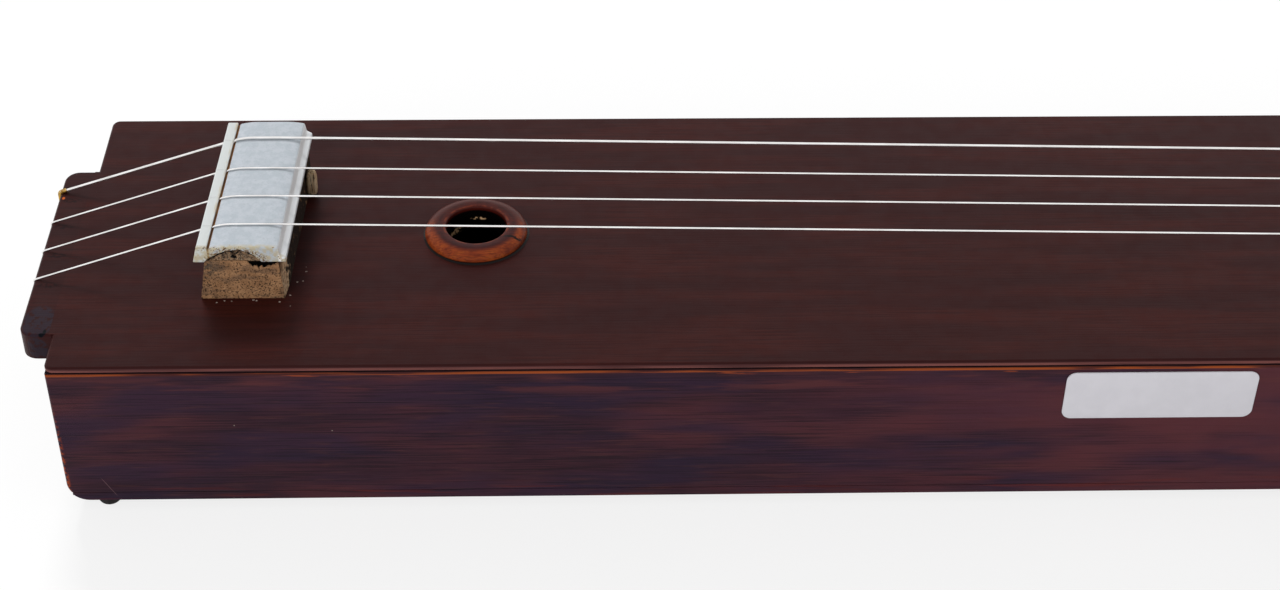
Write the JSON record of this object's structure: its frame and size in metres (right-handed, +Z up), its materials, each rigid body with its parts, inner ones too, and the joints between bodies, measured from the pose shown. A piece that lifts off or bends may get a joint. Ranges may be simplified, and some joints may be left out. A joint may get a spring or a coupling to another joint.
{
  "type": "box tanpura",
  "caption": "Long wooden sound box with strings over a wide curved bridge, a ring round its sound hole, and worm-geared tuners on a head plank.",
  "frame": {"origin": "under the middle of the whole instrument, on the surface that its feet stand on", "axes": "+X along the strings towards the head and tuners, +Y across the box towards its rear side, +Z up out of the soundboard"},
  "size_m": [0.969, 0.2, 0.1212],
  "materials": {
    "stained_top": "dark stained wood under thin satin lacquer",
    "stained_side": "dark stained wood with streaked grain, satin lacquer",
    "raw_wood": "bare sawn softwood",
    "bridge_wood": "rough bare wood with dark specks",
    "plate_white": "cool white, satin",
    "ring_brown": "turned and gloss lacquered",
    "steel": "plated",
    "string_steel": "drawn wire",
    "gear_brass": "cut brass",
    "button_cream": "moulded",
    "foot_black": "matt"
  },
  "bodies": {
    "instrument": {"soundboard": "stained_top", "tail_ledge": "stained_top", "head_plank": "stained_top", "back_board": "stained_side", "front_side": "stained_side", "rear_side": "stained_side", "tail_wall": "stained_side", "head_wall": "stained_side", "front_lining": "raw_wood", "rear_lining": "raw_wood", "top_brace_1": "raw_wood", "top_brace_2": "raw_wood", "top_brace_3": "raw_wood", "back_brace_1": "raw_wood", "back_brace_2": "raw_wood", "head_block": "raw_wood", "foot_tail_front": "foot_black", "foot_tail_rear": "foot_black", "foot_head_front": "foot_black", "foot_head_rear": "foot_black", "sound_ring": "ring_brown", "bridge_plate": "plate_white", "nut": "plate_white", "string_guide": "plate_white", "bridge_block": "bridge_wood", "bridge_wedge": "bridge_wood", "string_pin_1": "steel", "string_pin_2": "steel", "string_pin_3": "steel", "string_pin_4": "steel", "string_1": "string_steel", "tuner_plate_1": "steel", "tuner_ferrule_1": "steel", "string_2": "string_steel", "tuner_plate_2": "steel", "tuner_ferrule_2": "steel", "string_3": "string_steel", "tuner_plate_3": "steel", "tuner_ferrule_3": "steel", "string_4": "string_steel", "tuner_plate_4": "steel", "tuner_ferrule_4": "steel"},
    "tuner_key_1": {"tuner_worm_1": "steel", "tuner_button_1": "button_cream"},
    "tuner_spindle_1": {"tuner_post_1": "steel", "tuner_gear_1": "gear_brass"},
    "tuner_key_2": {"tuner_worm_2": "steel", "tuner_button_2": "button_cream"},
    "tuner_spindle_2": {"tuner_post_2": "steel", "tuner_gear_2": "gear_brass"},
    "tuner_key_3": {"tuner_worm_3": "steel", "tuner_button_3": "button_cream"},
    "tuner_spindle_3": {"tuner_post_3": "steel", "tuner_gear_3": "gear_brass"},
    "tuner_key_4": {"tuner_worm_4": "steel", "tuner_button_4": "button_cream"},
    "tuner_spindle_4": {"tuner_post_4": "steel", "tuner_gear_4": "gear_brass"}
  },
  "joints": [
    {"name": "key_1_turn", "type": "hinge", "parent": "instrument", "child": "tuner_key_1", "pos_m": [0.39426, 0.038, 0.06625], "axis": [0, 1, 0], "continuous": true},
    {"name": "post_1_turn", "type": "hinge", "parent": "instrument", "child": "tuner_spindle_1", "pos_m": [0.40415, 0.038, 0.06625], "axis": [0, 0, 1], "continuous": true},
    {"name": "key_2_turn", "type": "hinge", "parent": "instrument", "child": "tuner_key_2", "pos_m": [0.44427, 0.038, 0.06625], "axis": [0, 1, 0], "continuous": true},
    {"name": "post_2_turn", "type": "hinge", "parent": "instrument", "child": "tuner_spindle_2", "pos_m": [0.45415, 0.038, 0.06625], "axis": [0, 0, 1], "continuous": true},
    {"name": "key_3_turn", "type": "hinge", "parent": "instrument", "child": "tuner_key_3", "pos_m": [0.44427, -0.038, 0.06625], "axis": [0, -1, 0], "continuous": true},
    {"name": "post_3_turn", "type": "hinge", "parent": "instrument", "child": "tuner_spindle_3", "pos_m": [0.45415, -0.038, 0.06625], "axis": [0, 0, 1], "continuous": true},
    {"name": "key_4_turn", "type": "hinge", "parent": "instrument", "child": "tuner_key_4", "pos_m": [0.39426, -0.038, 0.06625], "axis": [0, -1, 0], "continuous": true},
    {"name": "post_4_turn", "type": "hinge", "parent": "instrument", "child": "tuner_spindle_4", "pos_m": [0.40415, -0.038, 0.06625], "axis": [0, 0, 1], "continuous": true}
  ],
  "couplings": [
    {"joint": "post_1_turn", "follows": "key_1_turn", "ratio": 0.071429},
    {"joint": "post_2_turn", "follows": "key_2_turn", "ratio": 0.071429},
    {"joint": "post_3_turn", "follows": "key_3_turn", "ratio": -0.071429},
    {"joint": "post_4_turn", "follows": "key_4_turn", "ratio": -0.071429}
  ]
}
